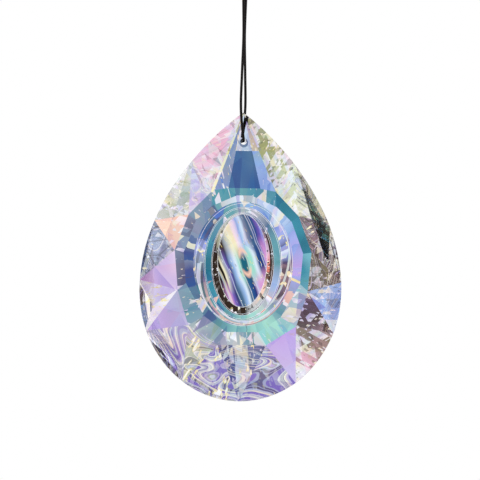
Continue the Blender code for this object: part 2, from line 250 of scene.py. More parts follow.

# The bands of the oval cut, round from the right over the top, the groove's dark ones painted shade, and the
# lens's streaks of painted refraction, highlight and shade from left to right
TABLE_BAND = [
    (0.0, "orchid"), (0.06, "pale_periwinkle"), (0.11, "periwinkle"), (0.16, "sky"), (0.22, "ice"),
    (0.28, "silver"), (0.34, "sea"), (0.40, "steel"), (0.46, "slate"), (0.50, "navy"), (0.55, "deep_blue"),
    (0.60, "dusk"), (0.66, "dusk"), (0.72, "sea"), (0.78, "mint"), (0.84, "sea"), (0.90, "steel"),
    (0.96, "pale_periwinkle"), (1.0, "orchid"),
]
OUTER_BAND = [
    (0.0, "mauve"), (0.05, "plum"), (0.09, "pale_periwinkle"), (0.14, "periwinkle"), (0.20, "sky"),
    (0.26, "sea"), (0.31, "dusk"), (0.35, "deep_blue"), (0.41, "periwinkle"), (0.47, "pale_periwinkle"),
    (0.53, "steel"), (0.59, "deep_teal"), (0.66, "sea"), (0.72, "silver"), (0.78, "mint"), (0.84, "steel"),
    (0.90, "silver"), (0.94, "plum"), (1.0, "mauve"),
]
OUTER_ACCENTS = [
    (0.0, "plum"), (0.12, "lilac"), (0.25, "white"), (0.33, "plum"), (0.42, "deep_blue"),
    (0.55, "deep_blue"), (0.68, "peach"), (0.80, "coral"), (0.90, "peach"), (1.0, "plum"),
]
INNER_BAND = [
    (0.0, "sea"), (0.09, "sea"), (0.16, "dusk"), (0.22, "silver"), (0.28, "sea"), (0.34, "sea"),
    (0.41, "teal"), (0.48, "deep_teal"), (0.53, "deep_teal"), (0.59, "teal"), (0.66, "teal"), (0.72, "sea"),
    (0.78, "mint"), (0.84, "silver"), (0.91, "sky"), (1.0, "sea"),
]
GROOVE_INNER_BAND = [
    (0.0, "coral"), (0.08, "rose"), (0.15, "mauve"), (0.20, "slate"), (0.28, "silver"), (0.36, "sage"),
    (0.44, "bark"), (0.765, "bark"), (0.785, "silver"), (0.86, "peach"), (0.92, "umber"), (0.97, "coral"),
    (1.0, "coral"),
]
INNER_GROOVE_FROM = 5.4 * MM
GROOVE_BAND = [
    (0.0, "bark"), (0.07, "black"), (0.14, "umber"), (0.20, "slate"), (0.28, "silver"), (0.34, "sage"),
    (0.40, "umber"), (0.47, "bark"), (0.55, "black"), (0.765, "bark"), (0.785, "silver"), (0.85, "silver"),
    (0.90, "umber"), (1.0, "bark"),
]
LENS_STREAKS = [
    [
        (0.29, "umber"), (0.35, "silver"), (0.41, "cream"), (0.49, "cream"), (0.53, "blush"),
        (0.57, "pale_lilac"), (0.61, "sky"), (0.67, "ice"), (0.71, "steel"), (0.77, "dusk"),
        (0.86, "deep_blue"), (0.92, "violet"), (0.95, "pale_periwinkle"), (0.98, "plum"),
    ],
    [
        (0.155, "black"), (0.165, "cream"), (0.20, "silver"), (0.235, "violet"), (0.28, "navy"),
        (0.34, "sky"), (0.39, "ice"), (0.435, "mint"), (0.48, "deep_teal"), (0.56, "deep_teal"),
        (0.60, "mint"), (0.65, "mint"), (0.70, "ice"), (0.755, "deep_blue"), (0.82, "indigo"),
        (0.855, "violet"), (0.89, "orchid_pink"),
    ],
    [
        (0.06, "plum"), (0.13, "orchid_pink"), (0.18, "violet"), (0.23, "indigo"), (0.31, "dusk"),
        (0.365, "sky"), (0.41, "ice"), (0.45, "dusk"), (0.50, "deep_blue"), (0.56, "indigo"),
        (0.61, "lilac"), (0.66, "orchid_pink"),
    ],
]
LENS_DEPTH = 1.15
STREAK_LEAN = math.radians(20.0)
STREAKS_REACH = 8.0 * MM
TOP_STREAKS = (1.0 * MM, 6.0 * MM)
FOOT_STREAKS = (-2.0 * MM, -7.0 * MM)
STREAK_WARP_SCALE = 180.0
STREAK_WARP = 0.9 * MM
CORE_PLACE = (0.6 * MM, 0.2 * MM)
CORE_HALF_SIZE = (1.2 * MM, 3.4 * MM)
CORE_EDGE = 0.3
CORE_ENDS = (1.2 * MM, 2.6 * MM)

# Glass: its bending of light and its glare, which are softer in the facets at the left and at the bottom
GLASS_IOR = 1.56
LENS_IOR = 1.25
GLARE = 0.3
SOFT_GLARE = 0.5
SOFT_IOR = 1.36
SOFT_BELOW = -11.0 * MM

# The painted reflections in the glass, broken and in swirls, with their dark pieces and lines as painted
# shade and their golden glints as painted highlights:
# their sizes and strengths. Of two shares that stand together, the first says how many of the pieces are seen
# and the second how many of those are dark
CLOUD_SCALE = 90.0
CLOUD_RANGE = (0.35, 0.65)
CLOUD_SHARE = 0.9
NOISE_MIDDLE = (0.5, 0.5, 0.5)
FINE_ROUGHNESS = 0.6
WARP_SCALE = 500.0
WARP = 0.06 * MM
LINE_ANGLES = [math.radians(degrees) for degrees in (12, 68, 131)]
LINE_SHARES = [1.0, 0.8, 0.6]
SLOPE_SCALE = 0.3
SLOPE_TURN = (0.7, 0.9, 0.5)
PIECE_SCALE = 190.0
PIECE_STRENGTH = 0.75
SHARD_SCALE = 470.0
SHARD_STRENGTH = 0.65
CHIP_SCALE = 1200.0
CHIP_SHARE = 0.25
CHIP_STRENGTH = 0.75
TABLE_SHARES = (0.25, 0.1)
OUTER_SHARES = (0.3, 0.2)
INNER_SHARES = (0.1, 0.0)
GROOVE_SHARES = (0.2, 0.5)
GOLD_CHIP_SHARES = (0.02, 0.2)
ARC_SCALE = 3500.0
ARC_SHARES = (0.35, 0.3)
ARC_LEAN = (1.0, 0.06, 0.0)
LENS_LINE_SHARES = (0.07, 0.15)
LENS_LINE_LEAN = (1.0, 0.05, 0.0)
LENS_LINE_STRENGTH = 0.35
INNER_FROM = 2.0 * MM
SHARD_STRETCH = 0.65
ACCENT_SHARE = 0.35
# The pale tints of the painted reflections: painted highlights
SHARD_LIGHTS = [
    (0.0, "white"), (0.46, "cream"), (0.58, "ice"), (0.68, "blush"), (0.78, "pale_mint"),
    (0.86, "pale_lilac"), (0.93, "clear"),
]
# Painted reflections in wavy layers: pale lines, and dark ones as painted shade
SWIRL_SCALE = 75.0
SWIRL_TWIST = 0.5
SWIRL_DETAIL = 1.3
SWIRL_LAYERS = 30.0
LAYER_RANGE = (0.3, 0.7)
TONE_START = 7.0
SWIRL_STRETCH = (0.45, 1.5, 1.0)
SWIRL_TONES = 1.6
SWIRL_ACCENT = 0.4
SWIRL_LIGHTS = [
    (0.0, "silver"), (0.2, "white"), (0.35, "cream"), (0.48, "lilac"), (0.6, "moss"), (0.72, "ice"),
    (0.85, "mist"),
]
TABLE_SCALE = 260.0
TABLE_SHIFT = 0.1
RING_SHIFT = 0.14
# The dark pieces and lines of the painted reflections: painted shade
SHADE = (0.012, 0.009, 0.008, 1.0)
SHADE_DEPTH = 0.92
# Golden glints: painted highlights
GLINT_SCALE = 1000.0
GLINT_LEAN = (0.0, 0.0, math.radians(50.0))
GLINT_STRETCH = (1.0, 0.45, 1.0)
CLUSTER_SCALE = 170.0
CLUSTER_RANGE = (0.4, 0.7)
CLUSTER_SHARES = (0.3, 1.6)
GLINT_FROM = 0.80
GLINT_SPREAD = 0.23
GLINT_SOFTNESS = 8.0
LEAST_GLINTS = 0.001
TABLE_GLINTS = 0.6
OUTER_GLINTS = 0.7
INNER_GLINTS = 0.1
GROOVE_GLINTS = 0.4
GLINT_TINTS = [(0.0, "gold"), (0.5, "cream"), (0.9, "clear")]
# Dark lines along the far edges of the facets seen through the glass: painted shade
EDGE_SHADE_SCALE = 260.0
EDGE_SHADE_FROM = 0.32
EDGE_SHADE_WIDTH = 0.22
EDGE_SHADE_DEPTH = 0.6

# Faces of the crystal: their material slots, the bevel on their edges and how far off its facet one may lie
FACETS, TABLE, RINGS, GROOVE, LENS, TIP, SOFT_FACETS = range(7)
SMOOTH_SLOTS = (RINGS, GROOVE, LENS)
GROOVE_FROM = 5
LENS_FROM = 7
BEVEL_FROM = math.radians(3.0)
SHARP_FROM = math.radians(12.0)
NEAR = 0.06 * MM
FACET_SPACING = 13.7 * MM
ROUND_LENGTH = 80.0 * MM

# What the studio shows through the glass beside the white paper: flags, softboxes, and their colours
FLAG_SCALE = 5.0
WHITE_FROM = 0.72
WHITE_TO = 0.86
FRONT_LIGHT = (0.7, 0.7, 0.72, 1.0)
BACK_LIGHT = (1.12, 1.12, 1.12, 1.0)
LEFT_LIGHT = (1.4, 1.38, 1.42, 1.0)
LEFT_RANGE = (-0.1, -0.5)
LEFT_SHARE = 0.75
PAPER_LIGHT = (1.0, 1.0, 1.0, 1.0)
STUDIO_LIGHTS = [
    (0.0, (0.10, 0.09, 0.12)), (0.12, (0.45, 0.43, 0.55)), (0.27, (0.50, 0.48, 0.42)),
    (0.38, (0.80, 0.80, 0.92)), (0.52, (1.25, 1.2, 1.0)), (0.68, (0.95, 0.92, 0.95)), (0.80, (1.5, 1.5, 1.5)),
]
LIGHT_BOUNCES = 24

# Pale floor below the suncatcher
FLOOR_LEVEL = -0.40
FLOOR_RADIUS = 0.6
FLOOR_SIDES = 96
FLOOR_COLOUR = (0.85, 0.85, 0.86, 1.0)
FLOOR_ROUGHNESS = 0.8


def linear(srgb):
    """A display colour, 0 to 255, as linear light."""
    shares = [value / 255 for value in srgb]
    return tuple(s / 12.92 if s <= 0.04045 else ((s + 0.055) / 1.055) ** 2.4 for s in shares)


def coat(name):
    """A tint as deep as the shader needs it, which takes its root at each surface."""
    return (*(value**TINT_DEPTH for value in linear(TINTS[name])), 1.0)


def new_shader(name):
    """A new material and its shader."""
    material = bpy.data.materials.new(name)
    material.use_nodes = True
    return material, material.node_tree.nodes["Principled BSDF"]


def link_object(name, data):
    thing = bpy.data.objects.new(name, data)
    bpy.context.scene.collection.objects.link(thing)
    return thing


def mesh_object(name, bm):
    bmesh.ops.recalc_face_normals(bm, faces=bm.faces)
    mesh = bpy.data.meshes.new(name)
    bm.to_mesh(mesh)
    bm.free()
    return link_object(name, mesh)


def make_camera():
    data = bpy.data.cameras.new("camera")
    data.sensor_width = SENSOR_WIDTH
    data.lens = data.sensor_width * CAMERA_DISTANCE * PIXELS_PER_METRE / PHOTO_SIDE
    data.clip_start, data.clip_end = CLIP_RANGE
    camera = link_object("camera", data)
    back = Vector((math.sin(CAMERA_AZIMUTH), -math.cos(CAMERA_AZIMUTH), 0.0))
    turn = (-back).to_track_quat("-Z", "Y").to_matrix().to_4x4()
    roll = Matrix.Rotation(CAMERA_ROLL, 4, "Z")
    camera.matrix_world = Matrix.Translation(PHOTO_CENTRE + back * CAMERA_DISTANCE) @ turn @ roll
    bpy.context.scene.camera = camera


def between(a, b, low, high, at):
    return a * ((high - at) / (high - low)) + b * ((at - low) / (high - low))


def smooth_point(a, b, c, d, share):
    """A point between b and c on the centripetal curve through four points."""
    marks = [0.0]
    for start, end in ((a, b), (b, c), (c, d)):
        marks.append(marks[-1] + math.sqrt((end - start).length))
    at = marks[1] + (marks[2] - marks[1]) * share
    first = between(a, b, marks[0], marks[1], at)
    second = between(b, c, marks[1], marks[2], at)
    third = between(c, d, marks[2], marks[3], at)
    early = between(first, second, marks[0], marks[2], at)
    late = between(second, third, marks[1], marks[3], at)
    return between(early, late, marks[1], marks[2], at)


def smooth_route(points):
    """Points about one spacing apart on a smooth curve through the given ones."""
    padded = [2 * points[0] - points[1], *points, 2 * points[-1] - points[-2]]
    route = []
    for a, b, c, d in zip(padded, padded[1:], padded[2:], padded[3:]):
        steps = max(BEND_STEPS, round((c - b).length / ROUTE_SPACING))
        route += [smooth_point(a, b, c, d, step / steps) for step in range(steps)]
    return [*route, points[-1]]


def cord_curve(name, points, material):
    curve = bpy.data.curves.new(name, "CURVE")
    curve.dimensions = "3D"
    curve.bevel_depth = CORD_RADIUS
    curve.bevel_resolution = CORD_BEVEL_STEPS
    curve.use_fill_caps = True
    spline = curve.splines.new("POLY")
    spline.points.add(len(points) - 1)
    for point, place in zip(spline.points, points):
        point.co = (*place, 1.0)
    curve.materials.append(material)
    return link_object(name, curve)


def cord_material():
    """Black waxed cord: strands laid in a tight twist, with a dull wax sheen."""
    material, shader = new_shader("black_waxed_cord")
    tree = material.node_tree
    shader.inputs["Roughness"].default_value = WAX_ROUGHNESS
    shader.inputs["Sheen Weight"].default_value = WAX_SHEEN
    shader.inputs["Specular IOR Level"].default_value = WAX_SHINE
    place = add(tree, "TexCoord").outputs["Object"]
    turned = add(tree, "Mapping", Vector=place, Rotation=STRAND_TURN).outputs["Vector"]
    strands = add(tree, "TexWave", Vector=turned, Scale=STRAND_SCALE, Distortion=STRAND_WAVER,
                  Detail_Scale=STRAND_DETAIL).outputs["Fac"]
    bump = add(tree, "Bump", Height=strands, Strength=STRAND_BUMP, Distance=STRAND_HEIGHT)
    # The strands are darker where the bump is low, in the grooves between them: painted shade
    feed(tree, shader.inputs["Base Color"], colours(tree, strands, STRAND_LIGHTS))
    feed(tree, shader.inputs["Normal"], bump.outputs["Normal"])
    return material


def make_cord():
    """The cord through the hole, up to its knot and round its eye, and the knot with the cord's two ends."""
    material = cord_material()
    hang = Vector((0.0, 0.0, WIDEST_LEVEL))
    half = [Vector(place) + hang for place in HALF_ROUTE]
    turned = [Vector((-place.x, -place.y, place.z)) for place in reversed(half[:-1])]
    cord = cord_curve("cord", smooth_route(half + turned), material)
    wraps = []
    steps = KNOT_TURN_STEPS * KNOT_TURNS
    for step in range(steps + 1):
        angle = math.tau * KNOT_TURNS * step / steps
        rise = CORD_RADIUS * 2 * (KNOT_TURNS - 1) * (step / steps - 0.5)
        across = KNOT_INNER_RADIUS + CORD_RADIUS
        wraps.append(Vector((across * math.cos(angle), across * math.sin(angle), KNOT_LEVEL + rise)) + hang)
    knot = cord_curve("cord_knot", wraps, material)
    tails = cord_curve("cord_ends", smooth_route([Vector(place) + hang for place in TAIL_ROUTE]), material)
    for piece in (cord, knot, tails):
        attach(piece, "root")
        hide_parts("hanging_cord")


def pear_point(angle):
    """A point of the pear outline: -90 degrees is the bottom, 0 the widest level and 90 the point."""
    across = max(0.0, math.cos(angle))
    if angle >= 0:
        return HALF_WIDTH * across**SHOULDER_POWER, POINT_RISE * math.sin(angle)
    return HALF_WIDTH * across, BOTTOM_DROP * math.sin(angle)


def pear_width(level):
    rise = POINT_RISE if level >= 0 else BOTTOM_DROP
    return pear_point(math.asin(level / rise))[0]


def both_sides(right_side):
    left_side = [(-x, z) for x, z in reversed(right_side) if x > WELD]
    return right_side + left_side


def girdle_corners(depth):
    sides = [(pear_width(level), level) for level in GIRDLE_LEVELS]
    corners = both_sides([(0.0, POINT_RISE), *sides, (0.0, -BOTTOM_DROP)])
    return [Vector((x, depth, z)) for x, z in corners]


def crown_corners():
    corners = []
    for x, z in both_sides(CROWN_CORNERS):
        outward = math.hypot(x / TABLE_OVAL[0], (z - OVAL_LEVEL) / TABLE_OVAL[1])
        gap = math.hypot(x, z - OVAL_LEVEL) * (1 - 1 / outward)
        corners.append(Vector((x, gap * math.tan(TABLE_RING_TILT) - TABLE_DEPTH, z)))
    return corners


def oval_corners(oval, level, depth, count):
    corners = []
    for step in range(count):
        angle = math.pi / 2 - math.tau * step / count
        corners.append(Vector((oval[0] * math.cos(angle), depth, level + oval[1] * math.sin(angle))))
    return corners


def pear_ring(share, rise_share, depth, half_step):
    """Corners evenly round the pear outline, drawn in to a share of its size."""
    corners = []
    for step in range(BACK_CORNERS):
        turn = math.pi / 2 - math.tau * (step + half_step) / BACK_CORNERS
        x, z = pear_point(math.asin(math.sin(turn)))
        side = share if math.cos(turn) > 0 else -share
        corners.append(Vector((x * side, depth, z * (rise_share if z > 0 else share))))
    return corners


def outward_of_edge(a, b):
    side = Vector((b.z - a.z, 0.0, a.x - b.x)).normalized()
    middle = (a + b) / 2 - Vector((0.0, 0.0, OVAL_LEVEL))
    return side if side.dot(middle) > 0 else -side


def facet_planes(ring, other_ring, finishes):
    """One facet for each edge of a ring, tipped until it touches the facing corner of the other ring."""
    planes = []
    for index, a in enumerate(ring):
        b = ring[(index + 1) % len(ring)]
        outward = outward_of_edge(a, b)
        c = max(other_ring, key=outward.dot)
        along = (b - a).normalized()
        normal = (b - a).cross(c - a).normalized()
        if normal.dot(outward) < 0:
            normal = -normal
        planes.append((a, normal, along, finishes[index % len(finishes)]))
    return planes


def all_planes():
    girdle = girdle_corners(-FRONT_GIRDLE)
    crown = crown_corners()
    table = oval_corners(TABLE_OVAL, OVAL_LEVEL, -TABLE_DEPTH, OVAL_SIDES)
    planes = facet_planes(crown, girdle, MAIN_FINISHES)
    planes += facet_planes(girdle, crown, BREAK_FINISHES)
    planes += facet_planes(crown, table, RING_FINISHES)
    outer = girdle_corners(BACK_GIRDLE)
    for order, (share, rise_share, depth) in enumerate(BACK_RINGS):
        inner = pear_ring(share, rise_share, depth, 0.5 * (order % 2))
        planes += facet_planes(inner, outer, BACK_FINISHES)
        planes += facet_planes(outer, inner, BACK_FINISHES[3:])
        outer = inner
    return planes


def grind(bm, planes):
    for point, normal, _, _ in planes:
        everything = [*bm.verts, *bm.edges, *bm.faces]
        cut = bmesh.ops.bisect_plane(
            bm, geom=everything, plane_co=point, plane_no=normal, dist=SNAP, clear_outer=True
        )
        rim = [part for part in cut["geom_cut"] if isinstance(part, bmesh.types.BMEdge)]
        bmesh.ops.edgeloop_fill(bm, edges=[edge for edge in rim if edge.is_boundary])


def ground_blank(planes):
    """The pear-shaped slab with every facet ground on."""
    steps = OUTLINE_QUARTER_STEPS
    angles = [math.pi / 2 * step / steps for step in range(steps, -steps - 1, -1)]
    outline = both_sides([pear_point(angle) for angle in angles])
    bm = bmesh.new()
    front = bm.faces.new([bm.verts.new((x, -TABLE_DEPTH, z)) for x, z in outline])
    grown = bmesh.ops.extrude_face_region(bm, geom=[front])
    moved = [part for part in grown["geom"] if isinstance(part, bmesh.types.BMVert)]
    bmesh.ops.translate(bm, vec=(0.0, TABLE_DEPTH + BACK_DEPTH, 0.0), verts=moved)
    bmesh.ops.recalc_face_normals(bm, faces=bm.faces)
    grind(bm, planes)
    assert all(edge.is_manifold for edge in bm.edges)
    bmesh.ops.remove_doubles(bm, verts=bm.verts, dist=WELD)
    bmesh.ops.dissolve_degenerate(bm, edges=bm.edges, dist=WELD)
    return mesh_object("blank", bm)


def lens_profile():
    """The turned ovals from the rim of the cut to the lens's top: half sizes, middle's level and depth."""
    rim = [half * CUTTER_SPREAD for half in LENS_RINGS[0][:2]]
    rings = [(rim, OVAL_LEVEL, -CUTTER_FACE)]
    rings += [(ring[:2], OVAL_LEVEL, -ring[2]) for ring in LENS_RINGS]
    lens_level = OVAL_LEVEL + LENS_LIFT
    floor = [half + FLOOR_MARGIN for half in LENS_OVAL]
    rings.append((floor, lens_level, -GROOVE_FLOOR))
    for step in range(LENS_STEPS):
        angle = math.pi / 2 * step / LENS_STEPS
        depth = LENS_FOOT + (LENS_TOP - LENS_FOOT) * math.sin(angle)
        rings.append(([half * math.cos(angle) for half in LENS_OVAL], lens_level, -depth))
    return rings


def turned_walls(bm, profile, sides):
    """The loops of corners along a turned solid's profile, and a row of faces for each of its steps."""
    loops = [[bm.verts.new(corner) for corner in oval_corners(*ring, sides)] for ring in profile]
    rows = []
    for first, second in zip(loops, loops[1:]):
        corners = zip(first, [*first[1:], first[0]], [*second[1:], second[0]], second)
        rows.append([bm.faces.new(four) for four in corners])
    return loops, rows


def lens_cutter():
    bm = bmesh.new()
    loops, rows = turned_walls(bm, lens_profile(), OVAL_SIDES)
    for step, row in enumerate(rows):
        for face in row:
            face.material_index = RINGS if step < GROOVE_FROM else GROOVE if step < LENS_FROM else LENS
    top = bm.verts.new((0.0, -LENS_TOP, OVAL_LEVEL + LENS_LIFT))
    last = loops[-1]
    for first, second in zip(last, [*last[1:], last[0]]):
        bm.faces.new((first, second, top)).material_index = LENS
    bm.faces.new(loops[0])
    return mesh_object("lens_cutter", bm)


def mouth_depth(corner_z, corner_depth, girdle):
    """How deep the glass is at the hole's level, between the drop's point and a facet's corner."""
    share = (POINT_RISE - HOLE_LEVEL) / (POINT_RISE - corner_z)
    return girdle + (corner_depth - girdle) * share


def hole_cutter():
    """The drill with a countersink at each end, turned round Y."""
    crown = crown_corners()[0]
    front = mouth_depth(crown.z, -crown.y, FRONT_GIRDLE)
    back = mouth_depth(POINT_RISE * BACK_RINGS[0][1], BACK_RINGS[0][2], BACK_GIRDLE)
    flare = COUNTERSINK_RADIUS - HOLE_RADIUS
    profile = [
        (COUNTERSINK_RADIUS + CUTTER_REACH, back + CUTTER_REACH),
        (HOLE_RADIUS, back - flare),
        (HOLE_RADIUS, flare - front),
        (COUNTERSINK_RADIUS + CUTTER_REACH, -front - CUTTER_REACH),
    ]
    rings = [((radius, radius), HOLE_LEVEL, depth) for radius, depth in profile]
    bm = bmesh.new()
    loops, _ = turned_walls(bm, rings, HOLE_SIDES)
    bm.faces.new(loops[0])
    bm.faces.new(loops[-1])
    return mesh_object("hole_cutter", bm)


def cut_with(thing, cutter):
    step = thing.modifiers.new(cutter.name, "BOOLEAN")
    step.operation = "DIFFERENCE"
    step.solver = "EXACT"
    step.material_mode = "INDEX"
    step.object = cutter


def place_on_profile(x, z):
    """How far a point of the oval cut has come: whole numbers at its rings, from the rim in to the lens."""
    ovals = [(half_width, half_height, OVAL_LEVEL) for half_width, half_height, _ in LENS_RINGS]
    ovals.append((*LENS_OVAL, OVAL_LEVEL + LENS_LIFT))
    shares = [math.hypot(x / wide, (z - level) / high) for wide, high, level in ovals]
    for index, (outer, inner) in enumerate(zip(shares, shares[1:])):
        if inner >= 1:
            return index + max(0.0, 1 - outer) / max(1e-9, inner - outer)
    return len(shares) - 1.0


def nearest_plane(face, planes):
    """The number of the plane that a face was ground by, or -1, and how well the two are aligned."""
    middle = face.calc_center_median()
    near = [
        (plane[1].dot(face.normal), index)
        for index, plane in enumerate(planes)
        if abs(plane[1].dot(middle - plane[0])) < NEAR
    ]
    alignment, index = max(near, default=(0.0, -1))
    return index, alignment


def touches_golden(place, planes):
    """Whether a place lies on the wide bevel between the two facets of the golden edge."""
    return all(abs(planes[index][1].dot(place - planes[index][0])) < GOLD_BEVEL for index in GOLD_EDGE)


def plain_grain(face):
    """The place of a face's corners seen from the front."""
    return [Vector((v.co.x, v.co.z, 0.0)) for v in face.verts]


def facet_grain(face, planes):
    """The finish of a ground face, and the place of its corners in the facet's own directions."""
    middle = face.calc_center_median()
    index, alignment = nearest_plane(face, planes)
    # The golden edge's wide bevel is painted with a highlight
    if alignment < FACET_ALIGNED and touches_golden(middle, planes):
        return GOLD_FINISH, plain_grain(face)
    if index < 0:
        at_hole = math.hypot(middle.x, middle.z - HOLE_LEVEL) < HOLE_REACH
        return (HOLE_FINISH if at_hole else CLEAR_FINISH), plain_grain(face)
    if index in TOP_FINISHES and middle.z > BLUE_TOP:
        return TOP_FINISHES[index], plain_grain(face)
    point, normal, along, finish = planes[index]
    across = normal.cross(along)
    shift = index * FACET_SPACING
    grain = []
    for v in face.verts:
        place = v.co - point
        grain.append(Vector((place.dot(along) + shift, place.dot(across) * SHARD_STRETCH, 0.0)))
    return finish, grain


def faded(tint, outline_tint, depth):
    """A tint that changes from the table's depth to another one at the outline."""
    share = min(1.0, max(0.0, (-depth - FRONT_GIRDLE) / (TABLE_DEPTH - FRONT_GIRDLE)))
    return tuple(near * share + far * (1 - share) for near, far in zip(coat(tint), coat(outline_tint)))


def needs_bevel(edge):
    """Whether an edge is a ground one; the turned surfaces bend round without any."""
    slots = {face.material_index for face in edge.link_faces}
    turned = len(slots) == 1 and slots <= set(SMOOTH_SLOTS)
    return edge.calc_face_angle(0.0) > (SHARP_FROM if turned else BEVEL_FROM)


def at_table(face):
    """Whether a face lies on the flat table round the oval cut."""
    return face.material_index == FACETS and face.calc_center_median().y < NEAR - TABLE_DEPTH


def ring_grain(face):
    """The place of a face's corners along the oval cut's profile and round it."""
    middle = face.calc_center_median()
    turn = math.atan2(middle.z - OVAL_LEVEL, middle.x)
    grain = []
    for v in face.verts:
        angle = math.atan2(v.co.z - OVAL_LEVEL, v.co.x)
        angle += math.tau * round((turn - angle) / math.tau)
        grain.append(Vector((place_on_profile(v.co.x, v.co.z) * MM, angle / math.tau * ROUND_LENGTH, 0.0)))
    return grain


def lens_grain(face):
    """The place of a face's corners across and along the streaks in the lens."""
    cos, sin = math.cos(STREAK_LEAN), math.sin(STREAK_LEAN)
    grain = []
    for v in face.verts:
        x, z = v.co.x, v.co.z - OVAL_LEVEL
        grain.append(Vector((x * cos + z * sin, z * cos - x * sin, 0.0)))
    return grain


def glass(name, ior=GLASS_IOR, glare=GLARE):
    """A clear polished glass with a coating that dims its glare, its node tree and its colour's socket."""
    material, shader = new_shader(name)
    shader.inputs["Roughness"].default_value = 0.0
    shader.inputs["IOR"].default_value = ior
    shader.inputs["Transmission Weight"].default_value = 1.0
    shader.inputs["Specular Tint"].default_value = (glare, glare, glare, 1.0)
    return material, material.node_tree, shader.inputs["Base Color"]


def feed(tree, socket, value):
    if isinstance(value, bpy.types.NodeSocket):
        tree.links.new(value, socket)
    else:
        socket.default_value = value


def add(tree, kind, settings=(), **inputs):
    """A new node with its settings, and its inputs linked or set by name."""
    node = tree.nodes.new("ShaderNode" + kind)
    for name, value in dict(settings).items():
        setattr(node, name, value)
    for name, value in inputs.items():
        feed(tree, node.inputs[name.replace("_", " ")], value)
    return node


def reckon(tree, kind, operation, values):
    """A new node that works out its result from values or links, in the order of its sockets."""
    node = add(tree, kind, {"operation": operation})
    for socket, value in zip(node.inputs, values):
        feed(tree, socket, value)
    return node


def maths(tree, operation, *values):
    return reckon(tree, "Math", operation, values).outputs["Value"]


def vectors(tree, operation, *values):
    return reckon(tree, "VectorMath", operation, values).outputs["Vector"]


def spread(tree, value, start, end, low=0.0, high=1.0, kind="LINEAR"):
    """A value that goes from low to high while another one goes from start to end."""
    node = add(tree, "MapRange", {"interpolation_type": kind}, Value=value, From_Min=start, From_Max=end,
               To_Min=low, To_Max=high)
    return node.outputs["Result"]


def channels(tree, colour):
    """The three values of a colour, each as a socket of its own."""
    return add(tree, "SeparateColor", Color=colour).outputs[:3]


def blend(tree, factor, a, b):
    node = add(tree, "Mix", {"data_type": "RGBA"}, Factor=factor, A=a, B=b)
    return node.outputs["Result"]


def colours(tree, factor, stops, interpolation="LINEAR"):
    """A colour ramp with its stops: a position and a linear colour each."""
    node = add(tree, "ValToRGB", Fac=factor)
    node.color_ramp.interpolation = interpolation
    elements = node.color_ramp.elements
    while len(elements) < len(stops):
        elements.new(1.0)
    for element, (position, colour) in zip(elements, stops):
        element.position = position
        element.color = (*colour, 1.0)
    return node.outputs["Color"]


def ramp(tree, factor, stops):
    """A colour ramp with its stops: a position and the name of a coating tint each."""
    return colours(tree, factor, [(position, coat(name)[:3]) for position, name in stops])


def attribute(tree, name, output):
    return add(tree, "Attribute", {"attribute_name": name}).outputs[output]


def warped(tree, vector, scale, amount):
    """A vector pushed about by soft noise."""
    noise = add(tree, "TexNoise", Vector=vector, Scale=scale, Detail=1.0)
    push = vectors(tree, "SUBTRACT", noise.outputs["Color"], NOISE_MIDDLE)
    return vectors(tree, "MULTIPLY_ADD", push, (amount, amount, amount), vector)


def lines(tree, vector, direction, scale):
    """Straight strips of random widths and random colours, across one direction."""
    along = reckon(tree, "VectorMath", "DOT_PRODUCT", (vector, direction)).outputs["Value"]
    strips = add(tree, "TexVoronoi", {"voronoi_dimensions": "1D"}, W=along, Scale=scale)
    return strips.outputs["Color"]


def mosaic(tree, vector, scale):
    """Random colours that change at straight lines in three directions, as reflections of facets do."""
    slope = (scale * SLOPE_SCALE,) * 3
    total = add(tree, "Mapping", Vector=vector, Rotation=SLOPE_TURN, Scale=slope).outputs["Vector"]
    for angle, share in zip(LINE_ANGLES, LINE_SHARES):
        direction = (math.cos(angle), math.sin(angle), 0.0)
        total = vectors(tree, "ADD", total, lines(tree, vector, direction, scale * share))
    return vectors(tree, "FRACTION", total)


def chips(tree, vector):
    """The finest mosaic, with its straight lines a little warped."""
    return mosaic(tree, warped(tree, vector, WARP_SCALE, WARP), CHIP_SCALE)


def painted_reflections(tree, base, accent, cells, shares, strength=1.0):
    """Painted broken reflections: a share of a pattern's cells is pale, in the second tint or dark (painted
    shade).
    """
    share, dark = shares
    first, second, third = channels(tree, cells)
    lights = ramp(tree, second, SHARD_LIGHTS)
    with_accent = blend(tree, maths(tree, "LESS_THAN", second, ACCENT_SHARE), lights, accent)
    shade = blend(tree, SHADE_DEPTH, base, SHADE)
    shard = blend(tree, maths(tree, "LESS_THAN", third, dark), with_accent, shade)
    seen = maths(tree, "MULTIPLY", maths(tree, "LESS_THAN", first, share), strength)
    return blend(tree, seen, base, shard)


def layers(tree, height, scale, start):
    """Bands of uneven width that follow a pattern's levels: 0 to 1."""
    moved = maths(tree, "ADD", height, start)
    setting = {"noise_dimensions": "1D"}
    noise = add(tree, "TexNoise", setting, W=moved, Scale=scale, Detail=3.0, Roughness=FINE_ROUGHNESS)
    return spread(tree, noise.outputs["Fac"], *LAYER_RANGE)


def painted_swirls(tree, base, accent, vector, share, dark):
    """Painted reflections in fine wavy layers of pale, plain and dark lines, the dark ones painted shade,
    shaped like an agate's.
    """
    noise = add(tree, "TexNoise", Vector=vector, Scale=SWIRL_SCALE, Detail=SWIRL_DETAIL,
                Distortion=SWIRL_TWIST)
    height = noise.outputs["Fac"]
    lights = ramp(tree, layers(tree, height, SWIRL_LAYERS, 0.0), SWIRL_LIGHTS)
    tone = layers(tree, height, SWIRL_LAYERS * SWIRL_TONES, TONE_START)
    layered = blend(tree, maths(tree, "LESS_THAN", tone, SWIRL_ACCENT), lights, accent)
    shade = blend(tree, SHADE_DEPTH, base, SHADE)
    layered = blend(tree, maths(tree, "GREATER_THAN", maths(tree, "ADD", tone, dark), 1.0), layered, shade)
    return blend(tree, share, base, layered)


